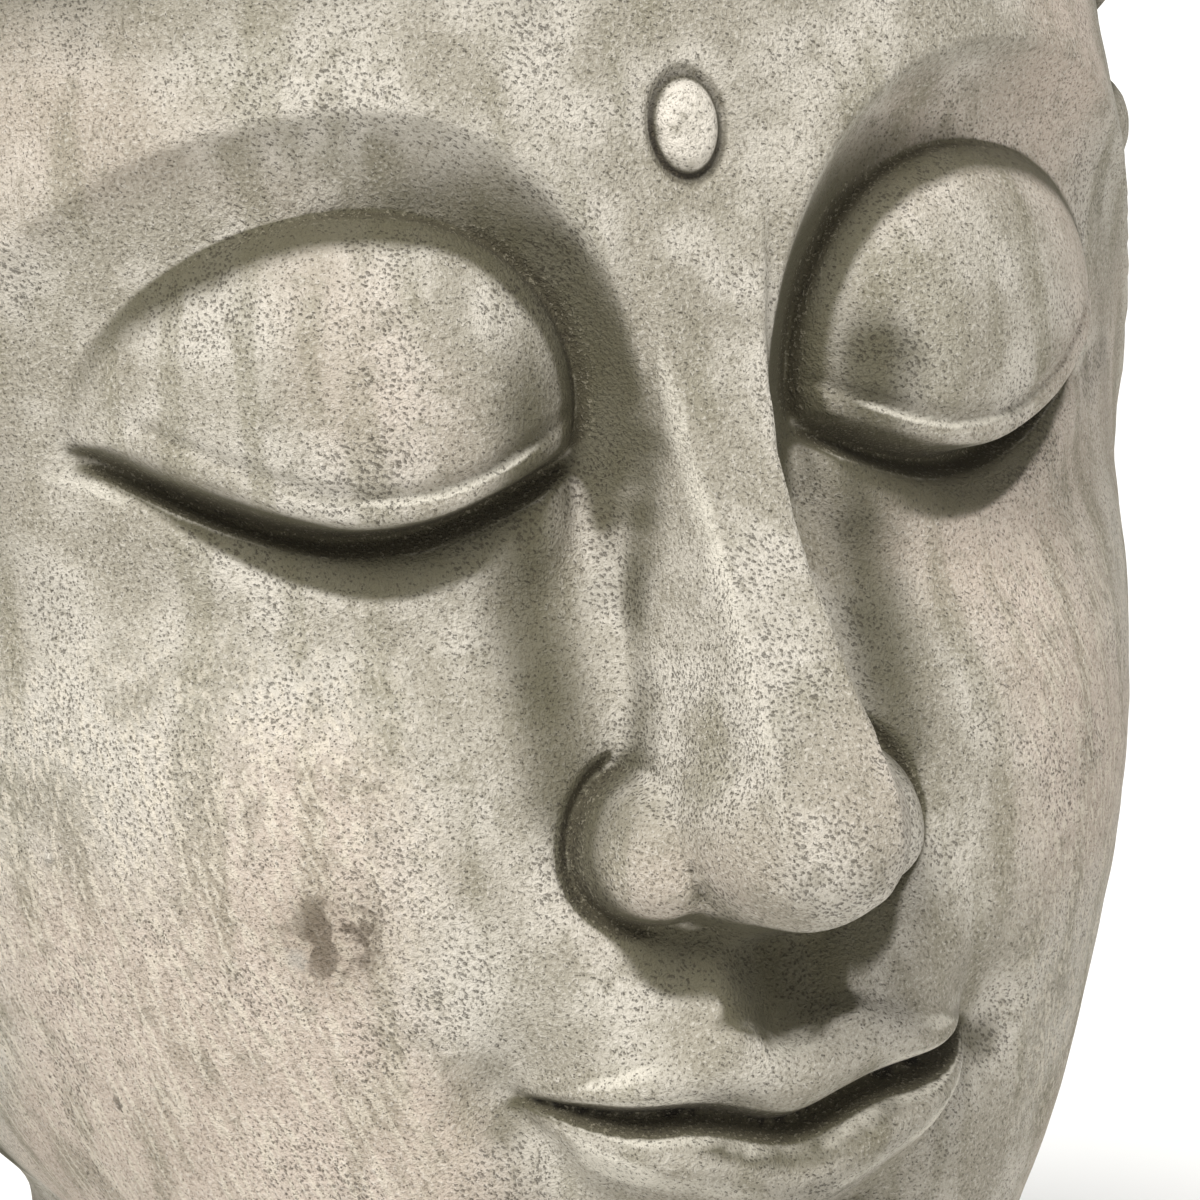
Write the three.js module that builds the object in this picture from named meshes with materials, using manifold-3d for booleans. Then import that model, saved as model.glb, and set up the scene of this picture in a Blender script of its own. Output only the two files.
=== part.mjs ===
// A head of the Buddha in cast stone, cut flat under the neck so that it stands on its own.
// Millimetres, +Z up, face towards -Y, origin in the middle of the flat underside.
// The face is built on the canon that divides its height into 240 parts: every height c below is
// counted in parts above the chin, and s is the distance from the middle of the face, in parts.
import * as THREE from "three";
import { mergeVertices } from "three/addons/utils/BufferGeometryUtils.js";
import Module from "manifold-3d";

// Driving sizes
const faceHeight = 240; // chin to the middle of the hairline
const neckHeight = 62; // underside to chin
const neckRadius = 60; // under the jaw
const footRadius = 68; // at the underside
const neckSetBack = 12; // of the neck's axis behind the middle of the head
const foldDepth = 1.8; // the two folds that run round the neck
const knobPitch = 18; // between the hair's knobs, along a row
const knobRadius = 9.6;
const crownRadius = 48; // the dome on top of the head
const crownHeight = 56;
const ornamentWidth = 8.6; // the oval between the brows
const ornamentLength = 11.6;
const ornamentRise = 2.2;
const earHeight = 130; // top of the ear to the end of the lobe
const lobeWidth = 22;
const earStandOff = 3; // of the ear's skin outside the line of the temple

// Finish of the surface mesh
const skinSpacing = 4.3; // between the rows of the plain parts; the carved face has rows three times closer
const earSpacing = 2.2; // between the rows of the ears
const headFaces = 9200;
const earFaces = 640;

const part = faceHeight / 240;
const chinLine = neckHeight / part;

// Plain curve tools

function step(from, to, t) {
  const u = Math.min(Math.max((t - from) / (to - from), 0), 1);
  return u * u * (3 - 2 * u);
}

function hump(t) {
  return Math.exp(-t * t);
}

function dome(q) {
  return Math.sqrt(Math.max(1 - q, 0));
}

function softMax(a, b, width) {
  const h = Math.min(Math.max(0.5 + (0.5 * (a - b)) / width, 0), 1);
  return b + (a - b) * h + width * h * (1 - h);
}

function softMin(a, b, width) {
  return -softMax(-a, -b, width);
}

// A smooth curve through a few [t, value] points.
function curve(points) {
  const last = points.length - 1;
  const slope = points.map(([t, v], i) => {
    if (i === 0) return (points[1][1] - v) / (points[1][0] - t);
    if (i === last) return (v - points[last - 1][1]) / (t - points[last - 1][0]);
    const before = t - points[i - 1][0];
    const after = points[i + 1][0] - t;
    const rise = (points[i + 1][1] - v) / after;
    const run = (v - points[i - 1][1]) / before;
    return (run * after + rise * before) / (before + after);
  });
  return (t) => {
    let i = 0;
    while (i < last - 1 && t > points[i + 1][0]) i += 1;
    const [t0, v0] = points[i];
    const [t1, v1] = points[i + 1];
    const h = t1 - t0;
    const u = Math.min(Math.max((t - t0) / h, 0), 1);
    const k = u * u * (3 - 2 * u);
    return v0 + (v1 - v0) * k + h * u * (1 - u) * ((1 - u) * slope[i] - u * slope[i + 1]);
  };
}

// The bare head, as three outlines seen from the side and the front

const middle = 120; // height of the head's middle above the chin

// Turns [distance out, height] points into radius by elevation.
function outline(points) {
  const polar = points.map(([out, c]) => [Math.atan2(c - middle, out), Math.hypot(out, c - middle)]);
  return curve(polar.sort((a, b) => a[0] - b[0]));
}

const faceLine = outline([
  [0, 280], [45, 274], [80, 253], [99, 224], [107, 197], [109, 172], [107, 145], [107, 110],
  [108, 80], [106, 52], [102, 26], [92, 6], [76, -2], [58, 4], [40, 14], [0, 18],
]);
const templeLine = outline([
  [0, 280], [48, 272], [78, 250], [93, 222], [99, 190], [100.5, 160], [99.5, 130], [96, 100],
  [89, 72], [77, 48], [60, 30], [40, 20], [0, 18],
]);
const napeLine = outline([
  [0, 280], [52, 272], [92, 245], [114, 205], [120, 170], [116, 130], [100, 95], [82, 65],
  [62, 42], [40, 26], [0, 18],
]);

function bareRadius(x, y, rise, reach) {
  const elevation = Math.asin(rise / reach);
  const flat = Math.hypot(x, y);
  const along = flat > 0 ? Math.abs(y) / flat : 1;
  const across = flat > 0 ? Math.abs(x) / flat : 0;
  const power = y < 0 ? 2.25 : 2.1;
  const lengthwise = y < 0 ? faceLine(elevation) : napeLine(elevation);
  return ((along / lengthwise) ** power + (across / templeLine(elevation)) ** power) ** (-1 / power);
}

// The face, as heights over the bare head

// Height of the closed lid's edge: a shallow bow that rises to the temple.
function lashLine(s) {
  const t = (s - 17) / 54;
  const along = Math.min(Math.max(t, 0), 1);
  return 140.5 - 8.5 * Math.sin(Math.PI * along) ** 1.1 + 5 * Math.min(Math.max(t, -0.3), 1.3) ** 2;
}

function eye(s, c) {
  const aside = s < 46 ? (46 - s) / 38 : (s - 46) / 46;
  const above = Math.max(c - 138, 0) / 48;
  const edge = (1 - (aside ** 2.2 + above ** 2.2) ** (1 / 2.2)) * 42;
  const depth = 13.5 - 8.5 * step(20, 88, s);
  const socket = -depth * (1 - Math.exp(-Math.max(edge, 0) / 7)) * step(98, 146, c);
  const brow = 1.8 * hump(Math.min(edge, 0) / 6) * step(120, 150, c);
  const ball = ((s - 43) / (s < 43 ? 28 : 34)) ** 2 + ((c - 147) / 26) ** 2;
  const over = c - lashLine(s);
  const inLid = step(13, 21, s) * (1 - step(64, 76, s));
  const underLid = softMax(socket, -5.5, 2) + 1.6 * hump((over + 9) / 5.5);
  const below = socket + (underLid - socket) * inLid;
  const fold = 1.1 * hump(over - 4.6) * inLid * step(1, 0.9, ball);
  const lid = softMax(socket, -10 + 13.5 * dome(ball), 1.2) - fold;
  const slit = 3.6 * hump((over + 1.8) / 1.5) * inLid;
  return below + (lid - below) * step(-1, 1, over) - slit + brow;
}

const bridgeHeight = curve([
  [50, -12], [70, -8], [75, -1], [79, 9], [82.5, 21], [87.5, 28], [94, 30.5], [105, 26],
  [120, 17.5], [135, 10.5], [150, 5.5], [165, 2.2], [180, -2], [200, -9], [260, -16],
]);
const bridgeHalf = curve([
  [60, 6], [85, 7], [95, 8], [110, 6.5], [130, 5.5], [150, 6.5], [170, 9], [190, 12],
]);
const flankWidth = curve([
  [60, 12], [88, 13], [95, 14], [105, 15.5], [120, 14], [140, 10], [160, 7], [190, 6],
]);

// How far out on the nose's wing, which ends at 1.
function wingReach(s, c) {
  return Math.hypot((s - 14.8) / 9, (c - 88.5) / (c > 88.5 ? 11.5 : 8.5));
}

function nose(s, c) {
  const foot = -6 - 10 * step(84, 118, c);
  const t = Math.min(Math.max((s - bridgeHalf(c)) / flankWidth(c), 0), 1);
  const bridge = foot + (bridgeHeight(c) - foot) * (1 - t) ** 1.6;
  const round = (s / 14.5) ** 2 + ((c - 92.5) / 13.5) ** 2;
  const tip = round < 1 ? 13 + 18.5 * dome(round) : foot;
  const r = wingReach(s, c);
  const wing = r < 1 ? -3 + 15 * Math.sqrt(1 - r ** 2.6) : foot;
  const nostril = 5 * hump(Math.hypot((s - 8.5) / 4, (c - 78) / 3));
  return softMax(softMax(bridge, tip, 3), wing, 6) - nostril;
}

function noseCrease(s, c) {
  return 1.8 * hump((wingReach(s, c) - 1.05) / 0.14) * step(13, 19, s);
}

const upperLip = curve([[0, 0], [0.14, 2.6], [0.34, 5], [0.6, 5.7], [0.85, 5], [1, 4.2]]);
const lowerLip = curve([[0, 0], [0.13, 2.7], [0.33, 5.7], [0.56, 6.5], [0.8, 4.8], [1, 1.2]]);
const mouthHalf = 32;

function lips(s, c) {
  const x = Math.min(s / mouthHalf, 1);
  const parting = 53.5 + 5.5 * x ** 2 - 1.6 * hump(s / 6.5) + 0.9 * hump((s - 13) / 6);
  const bow = parting + 11.5 * (1 - x ** 1.6) + 2 * hump((s - 7.5) / 5) - 0.9 * hump(s / 3) + 0.6;
  const rim = parting - 14 * (1 - x ** 2.2) ** 0.75 - 0.6;
  const full = (1 - x ** 3) ** 0.55;
  let height;
  if (c > parting) {
    const u = (c - parting) / (bow - parting);
    const skin = 3 * Math.exp(-Math.max(c - bow, 0) / 9) + 0.9 * hump((c - bow) / 0.9);
    height = full * (u > 1 ? skin : upperLip(u));
  } else {
    const u = (parting - c) / (parting - rim);
    const skin = -1.8 * Math.exp(-Math.max(rim - c, 0) / 7) + 3 * hump((rim - c) / 1.6);
    height = full * (u > 1 ? skin : lowerLip(u));
  }
  const within = step(1.25, 0.95, s / mouthHalf);
  return height * within - 1.5 * hump((c - parting) / 1.3) * step(1.1, 0.9, s / mouthHalf);
}

function mouth(s, c) {
  const corner = 3.8 * hump(Math.hypot((s - 33.5) / 7, (c - 58.5) / 8));
  const swell = 5.5 * Math.exp(-(((s / 38) ** 2 + ((c - 58) / 28) ** 2) ** 1.3));
  const trough = 2.8 * hump(s / 4.6) * step(61, 66, c) * (1 - step(74, 80, c));
  const edges = 0.9 * hump((s - 8.5) / 3) * step(62, 66, c) * (1 - step(72, 80, c));
  return (swell + lips(s, c) - corner - trough + edges) * (1.22 - 0.22 * step(50, 110, c));
}

const ornamentMiddle = 180;

// The oval ornament in its ring, between the brows.
function ornament(s, c) {
  const up = c - ornamentMiddle;
  const reach = Math.hypot((2 * s * part) / ornamentWidth, (2 * up * part) / ornamentLength);
  return (ornamentRise / part) * dome(reach ** 2.6) - hump((reach - 1.16) / 0.14);
}

function carving(x, y, c) {
  const front = step(-10, -45, y);
  if (front === 0) return 0;
  const s = Math.abs(x);
  const chin = 6 * Math.exp(-((s / 23) ** 2) - ((c - 18) / 15) ** 2);
  const dip = 3 * Math.exp(-((s / 20) ** 2) - ((c - 36) / 6) ** 2);
  const cheek = 4 * Math.exp(-(((s - 50) / 27) ** 2) - ((c - 92) / 30) ** 2);
  const soft = 1.5 + 3 * (1 - step(84, 125, c));
  const features = softMax(eye(s, c), nose(s, c), soft) - noseCrease(s, c) + mouth(s, c);
  return (features + chin - dip + cheek + ornament(s, c)) * front;
}

// Neck, crown and the whole skin under the hair

const neckAxis = neckSetBack / part;
const foldHeights = [24, 42];

function outsideNeck(x, y, c) {
  const z = (c + chinLine) * part;
  const back = y - neckAxis;
  const foot = (footRadius - neckRadius) * (1 - step(-4, 46, z));
  let out = Math.hypot(x, back) - (neckRadius + foot) / part;
  for (const height of foldHeights) {
    out += (foldDepth / part) * hump((z - height - 5 * step(-30, 50, back)) / 3);
  }
  return Math.max(out, c - 100);
}

const crownMiddle = new THREE.Vector3(0, 20, 262);

function outsideCrown(x, y, c) {
  const a = crownRadius / part;
  const flat = Math.hypot(x - crownMiddle.x, y - crownMiddle.y) / a;
  return (Math.hypot(flat, ((c - crownMiddle.z) * part) / crownHeight) - 1) * a;
}

// Under zero inside the stone. The skin runs a little below the floor, which cuts it later.
const spare = 4;

function outside(x, y, c) {
  const rise = c - middle;
  const reach = Math.hypot(x, y, rise) || 1;
  const head = reach - bareRadius(x, y, rise, reach) - carving(x, y, c);
  const body = softMin(softMin(head, outsideNeck(x, y, c), 7), outsideCrown(x, y, c), 14);
  return Math.max(body, -(c + chinLine + spare));
}

// Ears: a long closed leaf on each side, sunk in the temple

const earLow = 44;
const earTop = earLow + earHeight / part;
const earLines = {
  half: curve([
    [44, 9], [60, 11], [80, 11], [98, 11.5], [112, 14], [130, 17.5], [148, 19], [162, 18], [174, 14],
  ]),
  mid: curve([[44, 9], [80, 9], [105, 11], [130, 15], [150, 17], [174, 16]]),
  skin: curve([[44, 96], [80, 99], [110, 101], [140, 102], [160, 101.5], [174, 100]]),
  root: curve([[44, 87], [60, 84], [90, 78], [120, 70], [174, 70]]),
};

// Height on the ear's own 44 to 174 scale, so that a longer ear stretches.
function earScale(c) {
  return 44 + ((c - earLow) / (earTop - earLow)) * 130;
}

function earHalf(c) {
  const low = 1 - Math.min(Math.max((c - earLow) / 11, 0), 1);
  const top = 1 - Math.min(Math.max((earTop - c) / 17, 0), 1);
  const lobe = lobeWidth / part / 22;
  const wide = earLines.half(earScale(c)) * (lobe + (1 - lobe) * step(95, 130, earScale(c)));
  return wide * Math.sqrt(1 - low ** 2) * Math.sqrt(1 - top ** 2);
}

// Skin of the ear at height c, with k from -1 at the cheek to 1 at the back.
function earPoint(c, k) {
  const h = earScale(c);
  const half = earHalf(c);
  const y = earLines.mid(h) + half * k;
  const inset = Math.min((1 - Math.abs(k)) * half, Math.min(earTop - c, c - earLow) * 0.8);
  const round = 4 * (1 - Math.min(Math.max(inset / 4, 0), 1)) ** 2;
  const behind = step(95, 120, h) * step(-0.95, -0.2, k);
  const rim = 2.4 * hump((inset - 3.4) / 2.4) * Math.max(behind, step(158, 166, h));
  const dy = half * k + 1.5;
  const bowl = 7 * hump(Math.hypot(dy / 8, (h - 128) / 13.5) ** 1.6);
  const hollow = 3.5 * hump(Math.hypot((dy - 2) / 9, (h - 155) / 7.5) ** 1.6);
  const slit = 5.5 * hump((y - 9) / 2.6) * step(54, 62, h) * (1 - step(86, 98, h));
  const lean = (4 * k * half) / 18;
  const x = earLines.skin(h) + earStandOff / part + lean - round + rim - bowl - hollow - slit;
  return new THREE.Vector3(x, y, c);
}

// Hair: rings of round knobs about a pole tilted back, and more rings over the crown

const poleTilt = THREE.MathUtils.degToRad(38);
const frontLine = THREE.MathUtils.degToRad(84);
const hairLine = curve([
  [0, 82], [25, 79.5], [43, 74], [52, 76], [60, 82], [68, 88], [78, 94], [91, 104], [105, 109],
  [125, 107], [150, 99], [180, 92],
]);
const scalp = 116; // from the middle of the hair to the skin
const hairMiddle = middle + 10; // its rows are laid out round a point a little above the head's middle
const rowShare = 0.8; // rows of knobs lie closer than the knobs in a row

function hairDirections() {
  const pole = new THREE.Vector3(0, Math.sin(poleTilt), Math.cos(poleTilt));
  const ahead = new THREE.Vector3(0, -Math.cos(poleTilt), Math.sin(poleTilt));
  const rings = Math.round((frontLine * scalp * part) / (knobPitch * rowShare));
  const directions = [];
  for (let ring = 0; ring <= rings; ring += 1) {
    const level = frontLine * (1 - ring / rings);
    const count = Math.max(1, Math.round((2 * Math.PI * scalp * Math.sin(level) * part) / knobPitch));
    for (let i = 0; i < count; i += 1) {
      const bearing = (2 * Math.PI * (i + 0.5 * (ring % 2))) / count;
      const side = Math.abs(THREE.MathUtils.euclideanModulo(bearing + Math.PI, 2 * Math.PI) - Math.PI);
      const edge = THREE.MathUtils.degToRad(hairLine(THREE.MathUtils.radToDeg(side)));
      const away = (level * edge) / frontLine;
      const direction = pole.clone().multiplyScalar(Math.cos(away));
      direction.addScaledVector(ahead, Math.sin(away) * Math.cos(bearing));
      direction.x += Math.sin(away) * Math.sin(bearing);
      directions.push(direction);
    }
  }
  return directions;
}

const crownEdge = Math.PI / 2;

function crownPoints() {
  const points = [];
  const rings = Math.round((crownRadius * crownEdge) / (knobPitch * rowShare));
  for (let ring = 0; ring <= rings; ring += 1) {
    const away = (crownEdge * ring) / rings;
    const wide = (crownRadius / part) * Math.sin(away);
    const count = Math.max(1, Math.round((2 * Math.PI * wide * part) / knobPitch));
    for (let i = 0; i < count; i += 1) {
      const bearing = (2 * Math.PI * (i + 0.5 * (ring % 2))) / count;
      const offset = new THREE.Vector3(
        wide * Math.sin(bearing),
        -wide * Math.cos(bearing),
        (crownHeight / part) * Math.cos(away),
      );
      points.push(offset.add(crownMiddle));
    }
  }
  return points;
}

// Distance from a point along a direction to the skin, looked for from outside inwards.
const farOut = 150;
const stride = 5;

function skinDistance(direction, from) {
  let near = farOut;
  const isIn = (r) => outside(direction.x * r, direction.y * r, from + direction.z * r) < 0;
  while (near > stride && !isIn(near)) near -= stride;
  let far = near + stride;
  for (let i = 0; i < 14; i += 1) {
    const half = (near + far) / 2;
    if (isIn(half)) near = half;
    else far = half;
  }
  return near;
}

function insideEar(p) {
  if (p.z < earLow + 6 || p.z > earTop + 8) return false;
  return Math.abs(p.y - earLines.mid(earScale(p.z))) < earHalf(Math.min(p.z, earTop)) + 5;
}

// Middles of the knobs' balls, which are sunk a little in the skin.
function knobMiddles() {
  const clear = (knobPitch * 0.62) / part;
  const sink = (knobRadius * 0.2) / part;
  const onSkin = hairDirections().map((direction) => {
    const r = skinDistance(direction, hairMiddle);
    return direction.clone().multiplyScalar(r).setZ(hairMiddle + direction.z * r);
  });
  const below = onSkin.filter((p) => outsideCrown(p.x, p.y, p.z) > 0.5 * clear && !insideEar(p));
  const above = crownPoints().filter((p) => below.every((q) => q.distanceTo(p) > clear));
  return [...below, ...above].map((p) => {
    const slope = ["x", "y", "z"].map((axis) => {
      const a = p.clone();
      const b = p.clone();
      a[axis] += 0.5;
      b[axis] -= 0.5;
      return outside(a.x, a.y, a.z) - outside(b.x, b.y, b.z);
    });
    return p.clone().addScaledVector(new THREE.Vector3(...slope).normalize(), -sink);
  });
}

// Surface meshes, as flat arrays of points and of corner numbers

// Values from low to high, a spacing apart where the density is 1 and closer where it is higher.
function spread(low, high, spacing, density) {
  const samples = 2000;
  const sums = [0];
  for (let i = 1; i <= samples; i += 1) {
    sums.push(sums[i - 1] + density(low + ((high - low) * (i - 0.5)) / samples));
  }
  const count = Math.round((sums[samples] * (high - low)) / samples / spacing);
  const values = [];
  let i = 0;
  for (let k = 0; k <= count; k += 1) {
    const wanted = (sums[samples] * k) / count;
    while (i < samples - 1 && sums[i + 1] < wanted) {
      i += 1;
    }
    const u = (wanted - sums[i]) / (sums[i + 1] - sums[i]);
    values.push(low + ((high - low) * (i + u)) / samples);
  }
  return values;
}

// Each row of the skin is found by rays that leave the axis at one height with one elevation.
const lowest = -chinLine - 18;
const underJaw = -0.32 * chinLine;
const highest = 325;
const rayElevation = curve([
  [lowest, -90], [-chinLine, -30], [underJaw, -25], [0, -42], [14, -37], [52, -12], [90, -4],
  [140, 5], [185, 14], [230, 30], [262, 50], [292, 62], [highest, 90],
]);
const rayOrigin = curve([
  [lowest, 22 - chinLine], [-chinLine, 35 - chinLine], [underJaw, 28 + underJaw], [0, 56],
  [14, 70], [52, 76], [90, 98], [140, 130], [185, 157], [230, 172], [262, 182], [292, 210], [highest, 235],
]);

function headSkin() {
  const knobs = knobMiddles();
  const radius = knobRadius / part;
  const points = [];
  const place = (direction, from) => {
    let r = skinDistance(direction, from);
    let top = 0;
    for (const knob of knobs) {
      const rise = knob.z - from;
      const along = direction.x * knob.x + direction.y * knob.y + direction.z * rise;
      const room = radius ** 2 - (knob.x ** 2 + knob.y ** 2 + rise ** 2 - along ** 2);
      if (along > 0 && room > 0) top = Math.max(top, along + Math.sqrt(room));
    }
    if (top > r - 0.5) r = Math.max(r, softMax(r, top, 0.5));
    points.push(direction.x * r, direction.y * r, from + direction.z * r);
  };
  const atFace = (a) => 1 + 3 * Math.exp(-((a / 1.012) ** 4));
  const halfTurn = spread(0, Math.PI, (1.4 * skinSpacing) / part / scalp, atFace);
  const bearings = [...halfTurn.slice(1).reverse().map((a) => -a), ...halfTurn.slice(0, -1)];
  const atFeatures = (w) => 1 + 2.2 * Math.exp(-(((w - 105) / 92) ** 6));
  const levels = spread(lowest, highest, skinSpacing / part, atFeatures).slice(1, -1);
  for (const level of levels) {
    const up = THREE.MathUtils.degToRad(rayElevation(level));
    const from = rayOrigin(level);
    for (const bearing of bearings) {
      const flat = Math.cos(up);
      place(new THREE.Vector3(Math.sin(bearing) * flat, -Math.cos(bearing) * flat, Math.sin(up)), from);
    }
  }
  place(new THREE.Vector3(0, 0, -1), rayOrigin(lowest));
  place(new THREE.Vector3(0, 0, 1), rayOrigin(highest));
  const around = bearings.length;
  const last = (levels.length - 1) * around;
  const faces = [];
  for (let j = 0; j < around; j += 1) {
    const k = (j + 1) % around;
    for (let i = 0; i < last; i += around) {
      faces.push(i + j, i + k, i + around + k, i + j, i + around + k, i + around + j);
    }
    faces.push(last + around, k, j, last + around + 1, last + j, last + k);
  }
  return { points, faces };
}

// The carved skin in rows of points, and a plain root inside the head with two points a row.
function earSkin() {
  const high = 1 + Math.round(earHeight / earSpacing);
  const wide = 1 + Math.round((2.6 * lobeWidth) / earSpacing);
  const skin = [];
  const root = [];
  for (let i = 0; i < high; i += 1) {
    const turn = 0.05 + ((Math.PI - 0.1) * i) / (high - 1);
    const c = earLow + (earTop - earLow) * (0.5 - 0.5 * Math.cos(turn));
    for (let j = 0; j < wide; j += 1) {
      const p = earPoint(c, Math.sin(Math.PI * (j / (wide - 1) - 0.5)));
      skin.push(p.x, p.y, p.z);
      if (j === 0 || j === wide - 1) root.push(earLines.root(earScale(c)), p.y, p.z);
    }
  }
  const faces = [];
  const back = high * wide;
  for (let i = 0; i < high - 1; i += 1) {
    const front = i * wide;
    const rear = front + wide - 1;
    const inner = back + 2 * i;
    for (let a = front; a < rear; a += 1) {
      faces.push(a, a + 1, a + wide + 1, a, a + wide + 1, a + wide);
    }
    faces.push(inner, inner + 3, inner + 1, inner, inner + 2, inner + 3);
    faces.push(rear + wide, rear, inner + 1, rear + wide, inner + 1, inner + 3);
    faces.push(front, front + wide, inner + 2, front, inner + 2, inner);
  }
  const top = back - wide;
  const end = back + 2 * high - 1;
  for (let j = 0; j < wide - 1; j += 1) {
    faces.push(j + 1, j, back, top + j, top + j + 1, end);
  }
  faces.push(wide - 1, back, back + 1, top, end, end - 1);
  return { points: [...skin, ...root], faces };
}

// Fewer faces: edges collapse in the order of how little the surface moves

// A binary heap of edges, least cost first.
function makeQueue() {
  const heap = [];
  return {
    push(item) {
      let i = heap.length;
      heap.push(item);
      while (i > 0) {
        const up = (i - 1) >> 1;
        if (heap[up].cost <= item.cost) break;
        heap[i] = heap[up];
        i = up;
      }
      heap[i] = item;
    },
    pop() {
      const first = heap[0];
      const item = heap.pop();
      let i = 0;
      while (heap.length > 0) {
        let down = 2 * i + 1;
        if (down >= heap.length) break;
        if (down + 1 < heap.length && heap[down + 1].cost < heap[down].cost) down += 1;
        if (heap[down].cost >= item.cost) break;
        heap[i] = heap[down];
        i = down;
      }
      if (heap.length > 0) heap[i] = item;
      return first;
    },
    get size() {
      return heap.length;
    },
  };
}

// The weight says how much a place matters, by its points' coordinates.
function simplify({ points, faces }, wanted, weight) {
  const at = Float64Array.from(points);
  const corner = Int32Array.from(faces);
  const total = at.length / 3;
  const planes = new Float64Array(total * 10);
  const around = Array.from({ length: total }, () => []);
  const stamp = new Int32Array(total);

  const cross = (a, b, c) => {
    const ux = at[3 * b] - at[3 * a];
    const uy = at[3 * b + 1] - at[3 * a + 1];
    const uz = at[3 * b + 2] - at[3 * a + 2];
    const vx = at[3 * c] - at[3 * a];
    const vy = at[3 * c + 1] - at[3 * a + 1];
    const vz = at[3 * c + 2] - at[3 * a + 2];
    return [uy * vz - uz * vy, uz * vx - ux * vz, ux * vy - uy * vx];
  };

  for (let f = 0; f < corner.length; f += 3) {
    const [a, b, c] = corner.subarray(f, f + 3);
    const n = cross(a, b, c);
    const size = Math.hypot(...n) || 1e-12;
    const share = size * weight(at[3 * a], at[3 * a + 1], at[3 * a + 2]);
    const plane = [n[0] / size, n[1] / size, n[2] / size];
    plane.push(-(plane[0] * at[3 * a] + plane[1] * at[3 * a + 1] + plane[2] * at[3 * a + 2]));
    for (const v of [a, b, c]) {
      around[v].push(f);
      let k = 10 * v;
      for (let i = 0; i < 4; i += 1) {
        for (let j = i; j < 4; j += 1) {
          planes[k] += share * plane[i] * plane[j];
          k += 1;
        }
      }
    }
  }

  const costAt = (q, x, y, z) =>
    q[0] * x * x + 2 * q[1] * x * y + 2 * q[2] * x * z + 2 * q[3] * x + q[4] * y * y + 2 * q[5] * y * z
    + 2 * q[6] * y + q[7] * z * z + 2 * q[8] * z + q[9];

  // The best place for the joined point, out of three on the edge.
  const bestPlace = (a, b) => {
    const q = planes.slice(10 * a, 10 * a + 10);
    for (let i = 0; i < 10; i += 1) q[i] += planes[10 * b + i];
    let best = null;
    for (const share of [0, 1, 0.5]) {
      const place = [0, 1, 2].map((i) => at[3 * a + i] * (1 - share) + at[3 * b + i] * share);
      const cost = costAt(q, ...place);
      if (!best || cost < best.cost) best = { cost, place };
    }
    return best;
  };

  const queue = makeQueue();
  const squareLength = (a, b) => [0, 1, 2].reduce((sum, i) => sum + (at[3 * a + i] - at[3 * b + i]) ** 2, 0);
  const consider = (a, b) => {
    const { cost, place } = bestPlace(a, b);
    const evenness = 1e-7 * squareLength(a, b) ** 2;
    queue.push({ cost: cost + evenness, place, a, b, fresh: stamp[a] + stamp[b] });
  };
  const neighbours = (v) => {
    const found = new Set();
    for (const f of around[v]) {
      for (let i = 0; i < 3; i += 1) found.add(corner[f + i]);
    }
    found.delete(v);
    return found;
  };

  // A face must keep its side and must not become a sliver.
  const keepsShape = (v, other, place) => {
    for (const f of around[v]) {
      const ring = [corner[f], corner[f + 1], corner[f + 2]];
      if (ring.includes(other)) continue;
      const before = cross(...ring);
      const held = [at[3 * v], at[3 * v + 1], at[3 * v + 2]];
      at.set(place, 3 * v);
      const after = cross(...ring);
      const longest = Math.max(...ring.map((p, i) => squareLength(p, ring[(i + 1) % 3])));
      at.set(held, 3 * v);
      const area = Math.hypot(...after);
      const turn = before[0] * after[0] + before[1] * after[1] + before[2] * after[2];
      if (turn < 0.25 * area * Math.hypot(...before) || area < 0.06 * longest) return false;
    }
    return true;
  };

  for (let v = 0; v < total; v += 1) {
    for (const w of neighbours(v)) {
      if (v < w) consider(v, w);
    }
  }
  let left = corner.length / 3;
  while (left > wanted && queue.size > 0) {
    const { a, b, place, fresh } = queue.pop();
    if (stamp[a] < 0 || stamp[b] < 0 || stamp[a] + stamp[b] !== fresh) continue;
    const nearA = neighbours(a);
    const shared = [...neighbours(b)].filter((v) => nearA.has(v));
    if (shared.length !== 2 || !nearA.has(b)) continue;
    if (!keepsShape(a, b, place) || !keepsShape(b, a, place)) continue;
    at.set(place, 3 * a);
    for (let i = 0; i < 10; i += 1) planes[10 * a + i] += planes[10 * b + i];
    for (const f of around[b]) {
      const ring = [corner[f], corner[f + 1], corner[f + 2]];
      if (ring.includes(a)) {
        for (const v of ring) {
          if (v !== b) around[v] = around[v].filter((g) => g !== f);
        }
        corner.fill(-1, f, f + 3);
        left -= 1;
      } else {
        corner[f + ring.indexOf(b)] = a;
        around[a].push(f);
      }
    }
    around[b] = [];
    stamp[b] = -1;
    stamp[a] += 1;
    for (const v of neighbours(a)) consider(a, v);
  }
  const number = new Map();
  const kept = { points: [], faces: [] };
  for (const v of corner) {
    if (v < 0) continue;
    if (!number.has(v)) {
      number.set(v, number.size);
      kept.points.push(at[3 * v], at[3 * v + 1], at[3 * v + 2]);
    }
    kept.faces.push(number.get(v));
  }
  return kept;
}

// Putting the stone together

const solids = await Module();
solids.setup();
const { Manifold, Mesh } = solids;

function toSolid({ points, faces }) {
  const mesh = new Mesh({
    numProp: 3,
    vertProperties: Float32Array.from(points),
    triVerts: Uint32Array.from(faces),
  });
  return new Manifold(mesh);
}

function fromSolid(solid) {
  const mesh = solid.getMesh();
  return { points: [...mesh.vertProperties], faces: [...mesh.triVerts] };
}

// Canon parts above the chin to millimetres above the floor.
function toMillimetres({ points, faces }) {
  return { points: points.map((v, i) => v * part + (i % 3 === 2 ? neckHeight : 0)), faces };
}

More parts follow.
